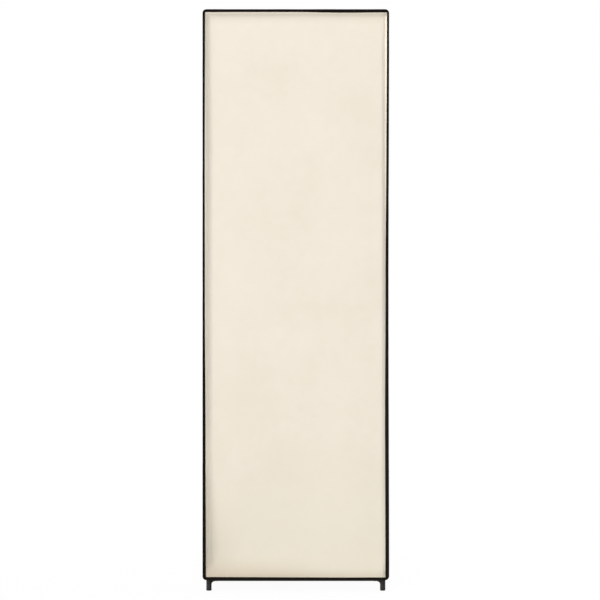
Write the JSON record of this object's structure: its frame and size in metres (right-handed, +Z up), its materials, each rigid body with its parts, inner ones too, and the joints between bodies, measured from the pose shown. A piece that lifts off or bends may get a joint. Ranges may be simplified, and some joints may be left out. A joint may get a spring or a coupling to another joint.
{
  "type": "portable fabric wardrobe",
  "caption": "Free-standing wardrobe: tube frame on push-fit connectors under a piped cloth cover, with cloth shelves, hanging rail and a zipped roll-up door.",
  "frame": {"origin": "on the floor under the middle of the wardrobe", "axes": "+Z up, -Y out of the front (the zip door), +X to the right of someone who stands in front and looks at the door"},
  "size_m": [0.888, 0.51, 1.59],
  "materials": {
    "tube_steel": "dark semi-gloss coating on thin steel tube",
    "connector_plastic": "moulded, faint satin",
    "cover_cloth": "cream non-woven cloth with a fine bonded grain",
    "shelf_cloth": "cream non-woven cloth",
    "black_trim": "black woven binding and webbing",
    "zip_metal": "black enamel"
  },
  "bodies": {
    "frame_and_cover": {"upright_lower_front_left": "tube_steel", "upright_upper_front_left": "tube_steel", "top_side_rail_front_left": "tube_steel", "upright_lower_front_right": "tube_steel", "upright_upper_front_right": "tube_steel", "top_side_rail_front_right": "tube_steel", "upright_lower_back_left": "tube_steel", "upright_upper_back_left": "tube_steel", "top_side_rail_back_left": "tube_steel", "upright_lower_back_right": "tube_steel", "upright_upper_back_right": "tube_steel", "top_side_rail_back_right": "tube_steel", "bottom_rail_front": "tube_steel", "bottom_rail_back": "tube_steel", "shelf_rail_front": "tube_steel", "shelf_rail_back": "tube_steel", "top_rail_front": "tube_steel", "top_rail_back": "tube_steel", "bottom_side_rail_left": "tube_steel", "bottom_side_rail_right": "tube_steel", "shelf_side_rail_left": "tube_steel", "shelf_side_rail_right": "tube_steel", "hanging_rail": "tube_steel", "foot_connector_front_left": "connector_plastic", "shelf_connector_front_left": "connector_plastic", "top_connector_front_left": "connector_plastic", "foot_connector_front_right": "connector_plastic", "shelf_connector_front_right": "connector_plastic", "top_connector_front_right": "connector_plastic", "foot_connector_back_left": "connector_plastic", "shelf_connector_back_left": "connector_plastic", "top_connector_back_left": "connector_plastic", "foot_connector_back_right": "connector_plastic", "shelf_connector_back_right": "connector_plastic", "top_connector_back_right": "connector_plastic", "rail_tee_left": "connector_plastic", "rail_tee_right": "connector_plastic", "cover_side_left": "cover_cloth", "cover_side_right": "cover_cloth", "cover_back": "cover_cloth", "cover_top": "cover_cloth", "front_header": "cover_cloth", "front_stile_left": "cover_cloth", "front_stile_right": "cover_cloth", "door_panel": "cover_cloth", "floor_shelf": "shelf_cloth", "middle_shelf": "shelf_cloth", "piping_left": "black_trim", "piping_right": "black_trim", "zip_tape_left": "black_trim", "zip_tape_right": "black_trim"},
    "slider_left": {"zip_slider_left": "zip_metal"},
    "slider_right": {"zip_slider_right": "zip_metal"},
    "pull_left": {"pull_tab_left": "zip_metal"},
    "pull_right": {"pull_tab_right": "zip_metal"},
    "door_bar": {"door_hem": "black_trim"},
    "strap_left": {"tie_strap_left": "black_trim"},
    "strap_right": {"tie_strap_right": "black_trim"}
  },
  "joints": [
    {"name": "zip_left_slide", "type": "slide", "parent": "frame_and_cover", "child": "slider_left", "axis": [0, 0, 1], "range_m": [0, 1.44]},
    {"name": "zip_right_slide", "type": "slide", "parent": "frame_and_cover", "child": "slider_right", "axis": [0, 0, 1], "range_m": [0, 1.44]},
    {"name": "pull_left_swing", "type": "hinge", "parent": "slider_left", "child": "pull_left", "pos_m": [-0.366, -0.2532, 0.07085], "axis": [-1, 0, 0], "range_deg": [0, 100]},
    {"name": "pull_right_swing", "type": "hinge", "parent": "slider_right", "child": "pull_right", "pos_m": [0.366, -0.2532, 0.07085], "axis": [-1, 0, 0], "range_deg": [0, 100]},
    {"name": "door_roll_up", "type": "slide", "parent": "frame_and_cover", "child": "door_bar", "axis": [0, 0, 1], "range_m": [0, 1.385], "deforming": ["door_panel"]},
    {"name": "strap_left_swing", "type": "hinge", "parent": "frame_and_cover", "child": "strap_left", "pos_m": [-0.19, -0.2486, 1.559], "axis": [-1, 0, 0], "range_deg": [0, 90]},
    {"name": "strap_right_swing", "type": "hinge", "parent": "frame_and_cover", "child": "strap_right", "pos_m": [0.19, -0.2486, 1.559], "axis": [-1, 0, 0], "range_deg": [0, 90]}
  ]
}
